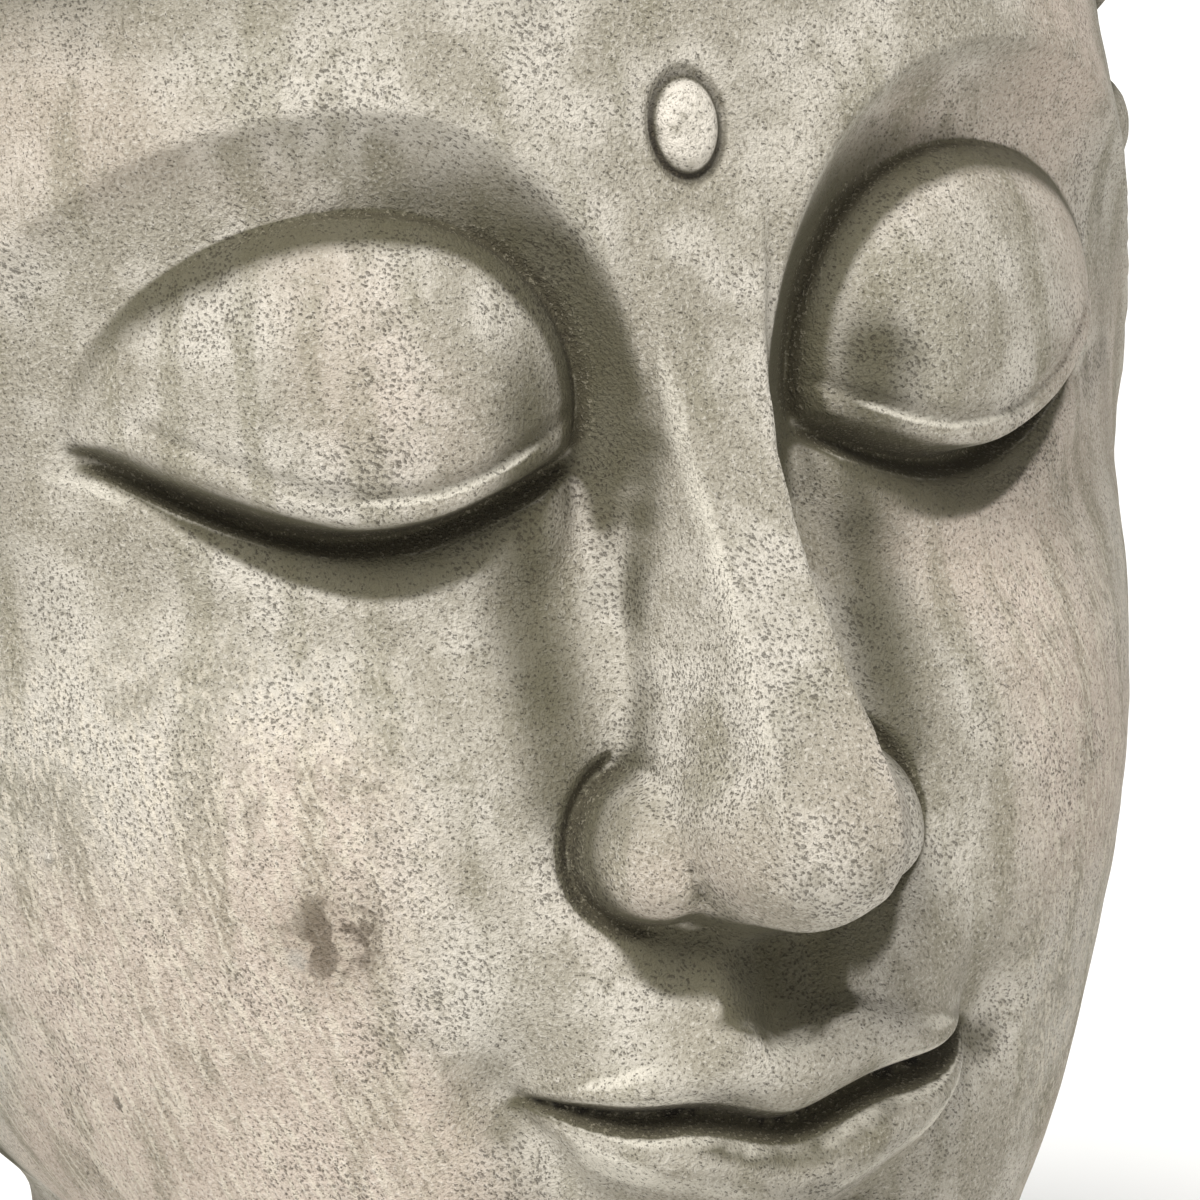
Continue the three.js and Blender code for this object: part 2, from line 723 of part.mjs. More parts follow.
function mirrored({ points, faces }) {
  return { points: points.map((v, i) => (i % 3 === 0 ? -v : v)), faces: [...faces].reverse() };
}

// The carved face keeps more of its points than the knobs do.
function importance(x, y, c) {
  return 1 + 11 * step(-50, -75, y) * step(205, 190, c) * step(5, 20, c);
}

const ear = toMillimetres(simplify(earSkin(), earFaces, () => 1));
const skin = toMillimetres(simplify(headSkin(), headFaces, importance));
const whole = toSolid(skin).add(toSolid(ear)).add(toSolid(mirrored(ear)));

const cutSize = 8 * footRadius;
const floor = new THREE.BoxGeometry(cutSize, cutSize, cutSize).translate(0, 0, -cutSize / 2);
floor.deleteAttribute("normal");
floor.deleteAttribute("uv");
const block = mergeVertices(floor);
const cutter = toSolid({ points: [...block.attributes.position.array], faces: [...block.index.array] });
const standing = fromSolid(whole.subtract(cutter));

const geometry = new THREE.BufferGeometry();
geometry.setAttribute("position", new THREE.Float32BufferAttribute(standing.points, 3));
geometry.setIndex(standing.faces);
geometry.computeVertexNormals();

const castStone = new THREE.MeshStandardMaterial({
  name: "cast_stone",
  color: 0xb3ab97,
  roughness: 0.92,
  metalness: 0,
});
const head = new THREE.Mesh(geometry, castStone);
head.name = "buddha_head";

const model = new THREE.Group();
model.name = "buddha_head_sculpture";
model.add(head);

export default model;
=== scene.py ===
"""The dressed head: fine skin, hair knobs and ears in weathered cast stone, and the studio round it.

The form is built on the canon that divides the face into 240 parts. Every height c is counted in parts
above the chin, and s is the distance from the middle of the face. One part is one millimetre here.
"""

import math

import bmesh
import bpy
import numpy as np
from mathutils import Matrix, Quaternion, Vector, noise


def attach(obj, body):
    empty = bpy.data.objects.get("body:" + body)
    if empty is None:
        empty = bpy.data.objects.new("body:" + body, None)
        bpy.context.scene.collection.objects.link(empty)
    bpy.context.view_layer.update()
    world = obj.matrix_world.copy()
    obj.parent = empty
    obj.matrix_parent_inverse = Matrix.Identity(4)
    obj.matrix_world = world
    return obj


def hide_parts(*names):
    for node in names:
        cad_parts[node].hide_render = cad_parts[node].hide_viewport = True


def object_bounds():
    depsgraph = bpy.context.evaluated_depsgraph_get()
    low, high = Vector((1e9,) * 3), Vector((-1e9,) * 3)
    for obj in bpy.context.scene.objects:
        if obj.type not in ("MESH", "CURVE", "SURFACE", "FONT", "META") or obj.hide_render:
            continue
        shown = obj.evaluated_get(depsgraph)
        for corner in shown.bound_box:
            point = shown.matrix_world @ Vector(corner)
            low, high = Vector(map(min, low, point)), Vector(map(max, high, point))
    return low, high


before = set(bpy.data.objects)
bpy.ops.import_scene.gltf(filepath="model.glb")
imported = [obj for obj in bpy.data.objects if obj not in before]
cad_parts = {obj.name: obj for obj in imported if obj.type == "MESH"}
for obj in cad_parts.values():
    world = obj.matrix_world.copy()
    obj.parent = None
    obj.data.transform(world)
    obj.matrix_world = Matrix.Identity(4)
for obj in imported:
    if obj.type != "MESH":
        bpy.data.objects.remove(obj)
cad_box = [list(corner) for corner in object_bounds()]

MM = 0.001
NODE = "buddha_head"

# Sizes of the casting, in millimetres
NECK_HEIGHT = 62.0
NECK_RADIUS = 60.0
FOOT_RADIUS = 68.0
NECK_SET_BACK = 12.0
FOLD_DEPTH = 1.8
FOLD_HEIGHTS = (24.0, 42.0)
KNOB_PITCH = 18.0
KNOB_RADIUS = 9.6
KNOB_SUNK = 0.2
CROWN_MIDDLE = np.array([0.0, 20.0, 262.0])
CROWN_RADIUS = 48.0
CROWN_HEIGHT = 56.0
ORNAMENT_WIDTH = 8.6
ORNAMENT_LENGTH = 11.6
ORNAMENT_RISE = 2.2
ORNAMENT_MIDDLE = 180.0
ORNAMENT_GROOVE = 1.16
EAR_LOW = 44.0
EAR_TOP = 174.0
EAR_STAND_OFF = 3.0
HEAD_MIDDLE = 120.0
CARVING_EDGE = -10.0
WING_CREASE = 1.05
MOUTH_HALF = 32.0


# Plain curve tools


def step(low, high, t):
    u = np.clip((t - low) / (high - low), 0, 1)
    return u * u * (3 - 2 * u)


def hump(t):
    return np.exp(-t * t)


def dome(q):
    return np.sqrt(np.clip(1 - q, 0, 1))


def soft_max(a, b, width):
    h = np.clip(0.5 + 0.5 * (a - b) / width, 0, 1)
    return b + (a - b) * h + width * h * (1 - h)


def soft_min(a, b, width):
    return -soft_max(-a, -b, width)


def curve(points):
    """A smooth curve through a few (t, value) points."""
    x, y = np.asarray(points, float).T
    slope = np.gradient(y, x)

    def value(t):
        i = np.clip(np.searchsorted(x, t) - 1, 0, len(x) - 2)
        h = x[i + 1] - x[i]
        u = np.clip((t - x[i]) / h, 0, 1)
        k = u * u * (3 - 2 * u)
        return y[i] + (y[i + 1] - y[i]) * k + h * u * (1 - u) * ((1 - u) * slope[i] - u * slope[i + 1])

    return value


def outline(points):
    """Turns (distance out, height) points into radius by elevation."""
    out, height = np.asarray(points, float).T
    rise = height - HEAD_MIDDLE
    polar = np.stack([np.arctan2(rise, out), np.hypot(out, rise)], 1)
    return curve(polar[np.argsort(polar[:, 0])])


# The bare head, as three outlines seen from the side and the front

face_line = outline([
    (0, 280), (45, 274), (80, 253), (99, 224), (107, 197), (109, 172), (107, 145), (107, 110),
    (108, 80), (106, 52), (102, 26), (92, 6), (76, -2), (58, 4), (40, 14), (0, 18),
])
temple_line = outline([
    (0, 280), (48, 272), (78, 250), (93, 222), (99, 190), (100.5, 160), (99.5, 130), (96, 100),
    (89, 72), (77, 48), (60, 30), (40, 20), (0, 18),
])
nape_line = outline([
    (0, 280), (52, 272), (92, 245), (114, 205), (120, 170), (116, 130), (100, 95), (82, 65),
    (62, 42), (40, 26), (0, 18),
])


def bare_radius(x, y, rise, reach):
    elevation = np.arcsin(np.clip(rise / reach, -1, 1))
    flat = np.maximum(np.hypot(x, y), 1e-9)
    along = np.abs(y) / flat
    across = np.abs(x) / flat
    power = np.where(y < 0, 2.25, 2.1)
    lengthwise = np.where(y < 0, face_line(elevation), nape_line(elevation))
    return ((along / lengthwise) ** power + (across / temple_line(elevation)) ** power) ** (-1 / power)


# The face, as heights over the bare head


def lash_line(s):
    """Height of the closed lid's edge: a shallow bow that rises to the temple."""
    t = (s - 17) / 54
    return 140.5 - 8.5 * np.sin(np.pi * np.clip(t, 0, 1)) ** 1.1 + 5 * np.clip(t, -0.3, 1.3) ** 2


def lid_reach(s, c):
    """How far out on the closed lid, which ends at 1."""
    return ((s - 43) / np.where(s < 43, 28, 34)) ** 2 + ((c - 147) / 26) ** 2


def eye(s, c):
    aside = np.where(s < 46, (46 - s) / 38, (s - 46) / 46)
    above = np.clip(c - 138, 0, None) / 48
    edge = (1 - (aside ** 2.2 + above ** 2.2) ** (1 / 2.2)) * 42
    depth = 13.5 - 8.5 * step(20, 88, s)
    socket = -depth * (1 - np.exp(-np.clip(edge, 0, None) / 7)) * step(98, 146, c)
    brow = 1.8 * hump(np.clip(edge, None, 0) / 6) * step(120, 150, c)
    ball = lid_reach(s, c)
    over = c - lash_line(s)
    in_lid = step(13, 21, s) * (1 - step(64, 76, s))
    under_lid = soft_max(socket, -5.5, 2) + 1.6 * hump((over + 9) / 5.5)
    below = socket + (under_lid - socket) * in_lid
    fold = 1.1 * hump(over - 4.6) * in_lid * step(1, 0.9, ball)
    lid = soft_max(socket, -10 + 13.5 * dome(ball), 1.2) - fold
    slit = 3.6 * hump((over + 1.8) / 1.5) * in_lid
    return below + (lid - below) * step(-1, 1, over) - slit + brow


bridge_height = curve([
    (50, -12), (70, -8), (75, -1), (79, 9), (82.5, 21), (87.5, 28), (94, 30.5), (105, 26),
    (120, 17.5), (135, 10.5), (150, 5.5), (165, 2.2), (180, -2), (200, -9), (260, -16),
])
bridge_half = curve([
    (60, 6), (85, 7), (95, 8), (110, 6.5), (130, 5.5), (150, 6.5), (170, 9), (190, 12),
])
flank_width = curve([
    (60, 12), (88, 13), (95, 14), (105, 15.5), (120, 14), (140, 10), (160, 7), (190, 6),
])


def wing_reach(s, c):
    return np.hypot((s - 14.8) / 9, (c - 88.5) / np.where(c > 88.5, 11.5, 8.5))


def nose(s, c):
    foot = -6 - 10 * step(84, 118, c)
    t = np.clip((s - bridge_half(c)) / flank_width(c), 0, 1)
    ridge = (1 - t) ** 1.6
    faded = ridge + (1 - step(0, 1, t) - ridge) * step(132, 160, c)
    bridge = foot + (bridge_height(c) - foot) * faded
    ball = (s / 14.5) ** 2 + ((c - 92.5) / 13.5) ** 2
    tip = np.where(ball < 1, 13 + 18.5 * dome(ball), foot)
    r = wing_reach(s, c)
    wing = np.where(r < 1, -3 + 15 * dome(np.minimum(r, 1) ** 2.6), foot)
    nostril = 5 * hump(np.hypot((s - 8.5) / 4, (c - 78) / 3))
    return soft_max(soft_max(bridge, tip, 3), wing, 6) - nostril


def nose_crease(s, c):
    return 1.8 * hump((wing_reach(s, c) - WING_CREASE) / 0.14) * step(13, 19, s)


upper_lip = curve([(0, 0), (0.14, 2.6), (0.34, 5), (0.6, 5.7), (0.85, 5), (1, 4.2)])
lower_lip = curve([(0, 0), (0.13, 2.7), (0.33, 5.7), (0.56, 6.5), (0.8, 4.8), (1, 1.2)])


def parting_line(s):
    x = np.minimum(s / MOUTH_HALF, 1)
    return 53.5 + 5.5 * x ** 2 - 1.6 * hump(s / 6.5) + 0.9 * hump((s - 13) / 6)


def lips(s, c):
    x = np.minimum(s / MOUTH_HALF, 1)
    parting = parting_line(s)
    bow = parting + 11.5 * (1 - x ** 1.6) + 2 * hump((s - 7.5) / 5) - 0.9 * hump(s / 3) + 0.6
    rim = parting - 14 * (1 - x ** 2.2) ** 0.75 - 0.6
    full = (1 - x ** 3) ** 0.55
    u = (c - parting) / (bow - parting)
    skin = 3 * np.exp(-np.clip(c - bow, 0, None) / 9) + 0.9 * hump((c - bow) / 0.9)
    upper = np.where(u > 1, skin, upper_lip(u))
    u = (parting - c) / (parting - rim)
    skin = -1.8 * np.exp(-np.clip(rim - c, 0, None) / 7) + 3 * hump((rim - c) / 1.6)
    lower = np.where(u > 1, skin, lower_lip(u))
    height = full * np.where(c > parting, upper, lower) * step(1.25, 0.95, s / MOUTH_HALF)
    return height - 1.5 * hump((c - parting) / 1.3) * step(1.1, 0.9, s / MOUTH_HALF)


def mouth(s, c):
    corner = 3.8 * hump(np.hypot((s - 33.5) / 7, (c - 58.5) / 8))
    swell = 5.5 * np.exp(-(((s / 38) ** 2 + ((c - 58) / 28) ** 2) ** 1.3))
    trough = 2.8 * hump(s / 4.6) * step(61, 66, c) * (1 - step(74, 80, c))
    edges = 0.9 * hump((s - 8.5) / 3) * step(62, 66, c) * (1 - step(72, 80, c))
    return (swell + lips(s, c) - corner - trough + edges) * (1.22 - 0.22 * step(50, 110, c))


def ornament_reach(s, c):
    return np.hypot(2 * s / ORNAMENT_WIDTH, 2 * (c - ORNAMENT_MIDDLE) / ORNAMENT_LENGTH)


def ornament(s, c):
    """The oval ornament in its groove, between the brows."""
    reach = ornament_reach(s, c)
    return ORNAMENT_RISE * dome(reach ** 2.6) - hump((reach - ORNAMENT_GROOVE) / 0.14)


def carving(x, y, c):
    s = np.abs(x)
    chin = 6 * np.exp(-((s / 23) ** 2) - ((c - 18) / 15) ** 2)
    dip = 3 * np.exp(-((s / 20) ** 2) - ((c - 36) / 6) ** 2)
    cheek = 4 * np.exp(-(((s - 50) / 27) ** 2) - ((c - 92) / 30) ** 2)
    soft = 1.5 + 3 * (1 - step(84, 125, c))
    features = soft_max(eye(s, c), nose(s, c), soft) - nose_crease(s, c) + mouth(s, c)
    return (features + chin - dip + cheek + ornament(s, c)) * step(CARVING_EDGE, -45, y)


# Neck, crown and the whole skin under the hair


def outside_neck(x, y, c):
    z = c + NECK_HEIGHT
    back = y - NECK_SET_BACK
    out = np.hypot(x, back) - NECK_RADIUS - (FOOT_RADIUS - NECK_RADIUS) * (1 - step(-4, 46, z))
    for height in FOLD_HEIGHTS:
        out = out + FOLD_DEPTH * hump((z - height - 5 * step(-30, 50, back)) / 3)
    return np.maximum(out, c - 100)


def outside_crown(x, y, c):
    flat = np.hypot(x - CROWN_MIDDLE[0], y - CROWN_MIDDLE[1]) / CROWN_RADIUS
    return (np.hypot(flat, (c - CROWN_MIDDLE[2]) / CROWN_HEIGHT) - 1) * CROWN_RADIUS


def outside(p):
    """Distance outside the stone without its knobs and ears, under zero inside."""
    x, y, c = p[:, 0], p[:, 1], p[:, 2]
    rise = c - HEAD_MIDDLE
    reach = np.sqrt(x * x + y * y + rise * rise)
    head = reach - bare_radius(x, y, rise, reach)
    front = y < CARVING_EDGE
    head[front] -= carving(x[front], y[front], c[front])
    body = soft_min(soft_min(head, outside_neck(x, y, c), 7), outside_crown(x, y, c), 14)
    return np.maximum(body, -(c + NECK_HEIGHT + 4))


# Ears: a long leaf on each side, sunk in the temple

ear_half_line = curve([
    (44, 9), (60, 11), (80, 11), (98, 11.5), (112, 14), (130, 17.5), (148, 19), (162, 18), (174, 14),
])
ear_mid_line = curve([(44, 9), (80, 9), (105, 11), (130, 15), (150, 17), (174, 16)])
ear_skin_line = curve([(44, 96), (80, 99), (110, 101), (140, 102), (160, 101.5), (174, 100)])
ear_root_line = curve([(44, 87), (60, 84), (90, 78), (120, 70), (174, 70)])


def ear_half(c):
    low = 1 - np.clip((c - EAR_LOW) / 11, 0, 1)
    top = 1 - np.clip((EAR_TOP - c) / 17, 0, 1)
    return ear_half_line(c) * dome(low ** 2) * dome(top ** 2)


def ear_skin(c, k):
    """Points of the left ear's skin, and how deep each lies in its carving. k is -1 at the cheek."""
    half = ear_half(c)
    y = ear_mid_line(c) + half * k
    inset = np.minimum((1 - np.abs(k)) * half, np.minimum(EAR_TOP - c, c - EAR_LOW) * 0.8)
    rounded = 4 * (1 - np.clip(inset / 4, 0, 1)) ** 2
    behind = step(95, 120, c) * step(-0.95, -0.2, k)
    rim = 2.4 * hump((inset - 3.4) / 2.4) * np.maximum(behind, step(158, 166, c))
    across = half * k + 1.5
    bowl = 7 * hump(np.hypot(across / 8, (c - 128) / 13.5) ** 1.6)
    hollow = 3.5 * hump(np.hypot((across - 2) / 9, (c - 155) / 7.5) ** 1.6)
    slit = 5.5 * hump((y - 9) / 2.6) * step(54, 62, c) * (1 - step(86, 98, c))
    depth = bowl + hollow + slit
    x = ear_skin_line(c) + EAR_STAND_OFF + 4 * k * half / 18 - rounded + rim - depth
    return np.stack([x, y, c], -1), depth


# Hair: rings of round knobs about a pole tilted back, and more rings over the crown

POLE_TILT = math.radians(38)
FRONT_LINE = math.radians(84)
SCALP = 116.0
HAIR_MIDDLE = 130.0
ROW_SHARE = 0.8
CROWN_EDGE = math.pi / 2
CLOSEST_SHARE = 0.62
hair_line = curve([
    (0, 82), (25, 79.5), (43, 74), (52, 76), (60, 82), (68, 88), (78, 94), (91, 104), (105, 109),
    (125, 107), (150, 99), (180, 92),
])


def hair_directions():
    pole = np.array([0, math.sin(POLE_TILT), math.cos(POLE_TILT)])
    ahead = np.array([0, -math.cos(POLE_TILT), math.sin(POLE_TILT)])
    rings = round(FRONT_LINE * SCALP / (KNOB_PITCH * ROW_SHARE))
    directions = []
    for ring in range(rings + 1):
        level = FRONT_LINE * (1 - ring / rings)
        count = max(1, round(2 * math.pi * SCALP * math.sin(level) / KNOB_PITCH))
        bearing = 2 * np.pi * (np.arange(count) + 0.5 * (ring % 2)) / count
        side = np.degrees(np.abs((bearing + np.pi) % (2 * np.pi) - np.pi))
        away = level * np.radians(hair_line(side)) / FRONT_LINE
        forward = np.cos(bearing)[:, None] * ahead + np.sin(bearing)[:, None] * np.array([1, 0, 0])
        directions.append(np.cos(away)[:, None] * pole + np.sin(away)[:, None] * forward)
    return np.concatenate(directions)


def crown_points():
    points = []
    rings = round(CROWN_RADIUS * CROWN_EDGE / (KNOB_PITCH * ROW_SHARE))
    for ring in range(rings + 1):
        away = CROWN_EDGE * ring / rings
        wide = CROWN_RADIUS * math.sin(away)
        count = max(1, round(2 * math.pi * wide / KNOB_PITCH))
        for i in range(count):
            bearing = 2 * math.pi * (i + 0.5 * (ring % 2)) / count
            side, ahead = wide * math.sin(bearing), -wide * math.cos(bearing)
            points.append(CROWN_MIDDLE + (side, ahead, CROWN_HEIGHT * math.cos(away)))
    return np.array(points)


def along_rays(directions, r, start):
    points = directions * r[:, None]
    points[:, 2] += start
    return points


def skin_distance(directions, start):
    """How far along each ray the skin is, looked for from outside inwards."""
    near = np.full(len(directions), 150.0)
    stride = 5.0
    todo = np.arange(len(directions))
    while len(todo):
        inside = outside(along_rays(directions[todo], near[todo], start[todo])) < 0
        todo = todo[~inside & (near[todo] > stride)]
        near[todo] -= stride
    far = near + stride
    for _ in range(14):
        half = (near + far) / 2
        inside = outside(along_rays(directions, half, start)) < 0
        near = np.where(inside, half, near)
        far = np.where(inside, far, half)
    return near


def slope(p):
    """The skin's outward direction at each point."""
    g = np.stack([outside(p + d) - outside(p - d) for d in np.eye(3) * 0.5], -1)
    return g / np.linalg.norm(g, axis=1, keepdims=True)


def knob_middles():
    """Middles of the knobs' balls, and the direction that each one stands in."""
    directions = hair_directions()
    start = np.full(len(directions), HAIR_MIDDLE)
    scalp = along_rays(directions, skin_distance(directions, start), start)
    c = scalp[:, 2]
    ear = np.abs(scalp[:, 1] - ear_mid_line(c)) < ear_half(np.minimum(c, EAR_TOP)) + 5
    ear &= (c > EAR_LOW + 6) & (c < EAR_TOP + 8)
    clear = KNOB_PITCH * CLOSEST_SHARE
    scalp = scalp[(outside_crown(*scalp.T) > 0.5 * clear) & ~ear]
    crown = crown_points()
    free = np.linalg.norm(crown[:, None] - scalp[None], axis=2).min(1) > clear
    skin = np.concatenate([scalp, crown[free]])
    out = slope(skin)
    return skin - out * KNOB_RADIUS * KNOB_SUNK, out


# Skin: rows of rays that leave the axis at one height with one elevation

LOWEST = -NECK_HEIGHT - 18
HIGHEST = 325.0
ray_elevation = curve([
    (LOWEST, -90), (-62, -30), (-20, -25), (0, -42), (14, -37), (52, -12), (90, -4),
    (140, 5), (185, 14), (230, 30), (262, 50), (292, 62), (HIGHEST, 90),
])
ray_start = curve([
    (LOWEST, -40), (-62, -27), (-20, 8), (0, 56), (14, 70), (52, 76), (90, 98), (140, 130),
    (185, 157), (230, 172), (262, 182), (292, 210), (HIGHEST, 235),
])


def spread(low, high, count, density):
    """Values from low to high, closer together where the density is higher."""
    u = np.linspace(low, high, 4001)
    d = density(u)
    total = np.concatenate([[0], np.cumsum((d[1:] + d[:-1]) / 2)])
    return np.interp(np.linspace(0, 1, count + 1), total / total[-1], u)


def rays(bearing, level):
    up = np.radians(ray_elevation(level))
    flat = np.cos(up)
    return np.stack([np.sin(bearing) * flat, -np.cos(bearing) * flat, np.sin(up)], -1), ray_start(level)


# Relief of the weathered skin, in millimetres


def unevenness(p, size, seed):
    """Smooth seeded ups and downs between -1 and 1, as wide as the size."""
    shift = Vector((seed, -seed, seed * 0.5))
    return np.array([noise.noise(Vector(q) + shift) for q in p / size])


def swells(p, coarse):
    """Broad swells of the given height, with smaller ones on them."""
    return coarse * unevenness(p, 13, 3.1) + 0.12 * unevenness(p, 5, 7.7)


def weathered(p):
    return p + slope(p) * swells(p, 0.22)[:, None]


# How sheltered and how exposed each point of the stone is


def to_knobs(p, middles):
    best = np.full(len(p), np.inf)
    for middle in middles:
        best = np.minimum(best, ((p - middle) ** 2).sum(1))
    return np.sqrt(best) - KNOB_RADIUS


def to_ears(p):
    x, y, c = np.abs(p[:, 0]), p[:, 1], p[:, 2]
    beside = np.abs(y - ear_mid_line(c)) - ear_half_line(c)
    outside_skin = x - ear_skin_line(c) - EAR_STAND_OFF
    return np.max([beside, outside_skin, EAR_LOW - c, c - EAR_TOP], axis=0)


def to_stone(p, middles):
    return np.min([outside(p), to_knobs(p, middles), to_ears(p)], axis=0)


def shelter(p, out, reach, middles):
    """0 on open skin, and up to 1 where other stone closes in over the reach."""
    return np.clip(1 - to_stone(p + out * reach, middles) / reach, 0, 1)


def exposure(p, out, reach, middles):
    """0 on flat skin, and up to 1 on an edge."""
    return np.clip(1 + to_stone(p - out * reach, middles) / reach, 0, 1)


def edge_ends(mesh):
    ends = np.empty(2 * len(mesh.edges), np.int32)
    mesh.edges.foreach_get("vertices", ends)
    return ends.reshape(-1, 2)


def smoothed(value, ends, times, share=0.5):
    """Moves each point's value towards the mean of its neighbours."""
    a, b = ends.T
    number = np.bincount(a, minlength=len(value)) + np.bincount(b, minlength=len(value))
    for _ in range(times):
        total = np.bincount(a, value[b], len(value)) + np.bincount(b, value[a], len(value))
        value = value + share * (total / np.maximum(number, 1) - value)
    return value


def overhang(p, out, reach, middles):
    """0 where a slope is open to the rain, and up to 1 where stone juts out over it or beside it."""
    raised = out + (0, 0, 0.7)
    raised /= np.linalg.norm(raised, axis=1, keepdims=True)
    lean = np.maximum((raised * out).sum(1), 0.3)
    above = 1 - to_stone(p + raised * reach, middles) / (reach * lean)
    beside = 1 - to_stone(p + out * reach, middles) / reach
    return np.clip(np.maximum(above, 1.2 * beside), 0, 1)


def set_wear_and_painted_light(piece, p, out, middles, carved_in=0.0, stain_and_shade=0.0, warmth=0.0):
    """Gives the material its values for each point: four of shelter and exposure, which carry painted
    shade and a painted highlight along with olive weathering, dirt and wear, and two clouds of colour.
    """
    values = {
        # crease, hollow and lee measure how near other stone closes in, and carry painted shade with the
        # dirt and patina; edge measures sharp edges, and carries a painted highlight with the wear
        "crease": shelter(p, out, 1.3, middles),
        "hollow": shelter(p, out, 4.5, middles),
        "lee": overhang(p, out, 16, middles),
        "edge": exposure(p, out, 9, middles),
        "warm": 0.42 + 0.4 * unevenness(p, 40, 8.4),
        "patchy": 0.5 + 0.38 * unevenness(p, 12, 6.1) + 0.2 * unevenness(p, 5.5, 2.7),
    }
    values["crease"] = np.clip(values["crease"] + carved_in, 0, 1)
    values["lee"] = np.maximum(values["lee"], stain_and_shade)
    values["warm"] += warmth
    ends = edge_ends(piece.data)
    for name, value in values.items():
        layer = piece.data.attributes.new(name, "FLOAT", "POINT")
        layer.data.foreach_set("value", smoothed(value, ends, 2).astype(np.float32))


# Meshes


def placed(points):
    """Canon points in metres on the frame's axes, kept inside the box of the CAD part."""
    p = np.asarray(points, float) + (0, 0, NECK_HEIGHT)
    return np.clip(p * MM, cad_box[0], cad_box[1])


def make_piece(name, points, faces):
    mesh = bpy.data.meshes.new(name)
    mesh.from_pydata(placed(points).tolist(), [], faces)
    mesh.validate()
    mesh.shade_smooth()
    piece = bpy.data.objects.new(name, mesh)
    bpy.context.scene.collection.objects.link(piece)
    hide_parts(NODE)
    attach(piece, "root")
    return piece


COLUMNS = 224
ROWS = 190
FINE_EDGE = -20.0


def in_fine_zone(s, c):
    """True over the carved features, where the skin's grid is made finer."""
    eye_zone = (s > 8) & (s < 84) & (c > 112) & (c < 192)
    nose_zone = (s < 32) & (c > 66) & (c < 192)
    mouth_zone = (s < 46) & (c > 28) & (c < 76)
    return eye_zone | nose_zone | mouth_zone


def in_finest_zone(s, c):
    """True along the narrow creases."""
    lash = (np.abs(c - lash_line(s) + 1) < 4.5) & (s > 11) & (s < 78)
    lid = (np.abs(lid_reach(s, c) - 1) < 0.16) & (c > 134)
    parting = (np.abs(c - parting_line(s)) < 4.5) & (s < 37)
    wing = (np.abs(wing_reach(s, c) - WING_CREASE) < 0.28) & (s > 10)
    groove = np.abs(ornament_reach(s, c) - ORNAMENT_GROOVE) < 0.45
    return lash | lid | parting | wing | groove


def skin_points(bearing, level):
    direction, start = rays(bearing, level)
    return along_rays(direction, skin_distance(direction, start), start)


def refined(grid, turn, height, zone):
    """Splits the edges that lie in the zone."""
    grid.verts.ensure_lookup_table()
    at = np.array([(v[turn], v[height]) for v in grid.verts])
    p = skin_points(at[:, 0], at[:, 1])
    chosen = zone(np.abs(p[:, 0]), p[:, 2]) & (p[:, 1] < FINE_EDGE)
    edges = [e for e in grid.edges if chosen[e.verts[0].index] and chosen[e.verts[1].index]]
    bmesh.ops.subdivide_edges(grid, edges=edges, cuts=1, use_grid_fill=True)
    grid.verts.index_update()


def skin_grid():
    """Bearings, levels and faces of a grid over the whole head, finer where the carving is."""
    half_turn = spread(0, math.pi, COLUMNS // 2, lambda a: 1 + 3 * np.exp(-((a / 1.05) ** 4)))
    bearings = np.concatenate([-half_turn[:0:-1], half_turn[:-1]])
    levels = spread(LOWEST, HIGHEST, ROWS, lambda w: 1 + 2.2 * np.exp(-(((w - 105) / 96) ** 6)))[1:-1]
    grid = bmesh.new()
    turn = grid.verts.layers.float.new("turn")
    height = grid.verts.layers.float.new("height")
    rows = []
    for level in levels:
        row = []
        for bearing in bearings:
            v = grid.verts.new((bearing, level, 0))
            v[turn] = bearing
            v[height] = level
            row.append(v)
        rows.append(row)
    for low, high in zip(rows, rows[1:]):
        for j, v in enumerate(low):
            k = (j + 1) % len(low)
            grid.faces.new((v, low[k], high[k], high[j]))
    grid.faces.new(rows[0][::-1])
    grid.faces.new(rows[-1])
    grid.verts.index_update()
    refined(grid, turn, height, in_fine_zone)
    refined(grid, turn, height, in_finest_zone)
    bmesh.ops.triangulate(grid, faces=[f for f in grid.faces if len(f.verts) > 4])
    at = np.array([(v[turn], v[height]) for v in grid.verts])
    faces = [tuple(v.index for v in f.verts) for f in grid.faces]
    grid.free()
    return at, faces


def skin_stains_and_shade(p, middles):
    """Olive darkening that fades away from the hair knobs, painted shade with olive weathering beside the
    nose, an olive stain round the mouth, and the warmth of the skin.
    """
    across, c = np.abs(p[:, 0]), p[:, 2]
    on_face = step(-30, -50, p[:, 1])
    under_hair = 0.6 * np.clip(1 - to_knobs(p, middles) / 34, 0, 1)
    # painted shade with olive patina: darker in the valley beside the nose
    beside_nose = 0.5 * hump((across - 24) / 8) * step(84, 98, c) * (1 - step(146, 166, c))
    round_mouth = 0.3 * hump(np.hypot(across / 44, (c - 44) / 24))
    stain_and_shade = np.maximum(under_hair, on_face * np.maximum(beside_nose, round_mouth))
    cheek, nose_and_brow = hump((across - 64) / 30) * hump((c - 84) / 56), hump(across / 22)
    return stain_and_shade, on_face * (0.22 * cheek - 0.2 * nose_and_brow)


